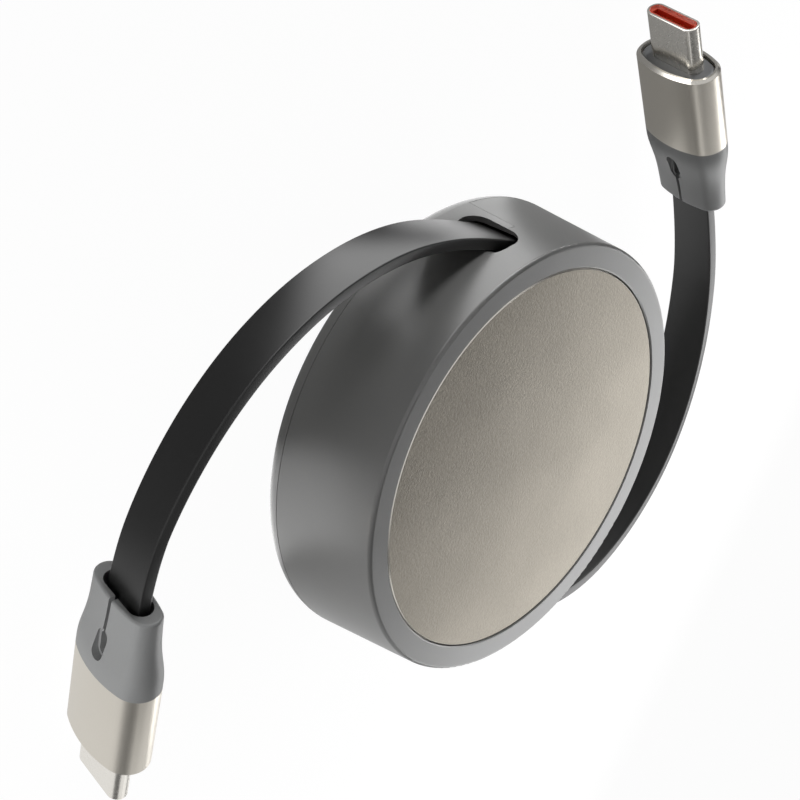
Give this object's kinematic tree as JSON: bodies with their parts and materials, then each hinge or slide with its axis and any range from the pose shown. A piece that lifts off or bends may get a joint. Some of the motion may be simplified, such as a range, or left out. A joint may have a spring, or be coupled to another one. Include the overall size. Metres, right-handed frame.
{
  "type": "retractable charging cable",
  "caption": "Disc-shaped housing with a spring-loaded spool; a flat ribbon cable leaves it on both sides and ends in USB-C plugs with metal sleeves.",
  "frame": {"origin": "centre of the rear cover's flat face, on the disc's axis", "axes": "+Z along the disc's axis towards the front plate; ribbon end a leaves at -X, end b at +X"},
  "size_m": [0.0824, 0.1128, 0.0171],
  "materials": {
    "graphite_plastic": "satin moulded",
    "champagne_aluminium": "fine bead-blasted and anodised",
    "adhesive": "matt film",
    "post_steel": "turned",
    "washer_plastic": "smooth",
    "spool_plastic": "moulded",
    "bush_brass": "turned",
    "ribbon_elastomer": "matt extruded",
    "spring_steel": "rolled",
    "relief_elastomer": "matt moulded",
    "core_plastic": "matt moulded",
    "shell_steel": "drawn and plated",
    "insulator_red": "moulded",
    "contact_gold": "plated",
    "board_laminate": "coated laminate"
  },
  "bodies": {
    "housing": {"front_shell": "graphite_plastic", "rear_cover": "graphite_plastic", "front_plate": "champagne_aluminium", "plate_adhesive": "adhesive", "centre_post": "post_steel", "post_screw": "post_steel", "thrust_washer": "washer_plastic", "main_spring": "spring_steel", "ribbon_a": "ribbon_elastomer", "ribbon_b": "ribbon_elastomer"},
    "spool": {"spool": "spool_plastic", "spool_bush": "bush_brass", "track_flange": "spool_plastic", "wound_ribbon": "ribbon_elastomer"},
    "latch": {"latch_ball": "spring_steel"},
    "plug_a": {"strain_relief_a": "relief_elastomer", "plug_sleeve_a": "champagne_aluminium", "plug_core_a": "core_plastic", "connector_shell_a": "shell_steel", "insulator_a": "insulator_red", "contacts_a": "contact_gold", "paddle_board_a": "board_laminate"},
    "plug_b": {"strain_relief_b": "relief_elastomer", "plug_sleeve_b": "champagne_aluminium", "plug_core_b": "core_plastic", "connector_shell_b": "shell_steel", "insulator_b": "insulator_red", "contacts_b": "contact_gold", "paddle_board_b": "board_laminate"}
  },
  "joints": [
    {"name": "spool_turn", "type": "hinge", "parent": "housing", "child": "spool", "pos_m": [0, 0, 0], "axis": [0, 0, 1], "range_deg": [-165, 8], "deforming": ["main_spring"]},
    {"name": "latch_shift", "type": "slide", "parent": "housing", "child": "latch", "axis": [0, 1, 0], "range_m": [-0.0035, 0]},
    {"name": "plug_a_draw", "type": "hinge", "parent": "housing", "child": "plug_a", "pos_m": [-0.00333, -0.02657, 0.00775], "axis": [0.0827, 0.0858, 0.9929], "range_deg": [-111.55, 5.42], "deforming": ["ribbon_a"]},
    {"name": "plug_b_draw", "type": "hinge", "parent": "housing", "child": "plug_b", "pos_m": [-0.00166, 0.0145, 0.00855], "axis": [0, 0, 1], "range_deg": [-130.66, 6.34], "deforming": ["ribbon_b"]}
  ],
  "couplings": [
    {"joint": "plug_a_draw", "follows": "spool_turn", "ratio": 0.676},
    {"joint": "plug_b_draw", "follows": "spool_turn", "ratio": 0.79181}
  ]
}
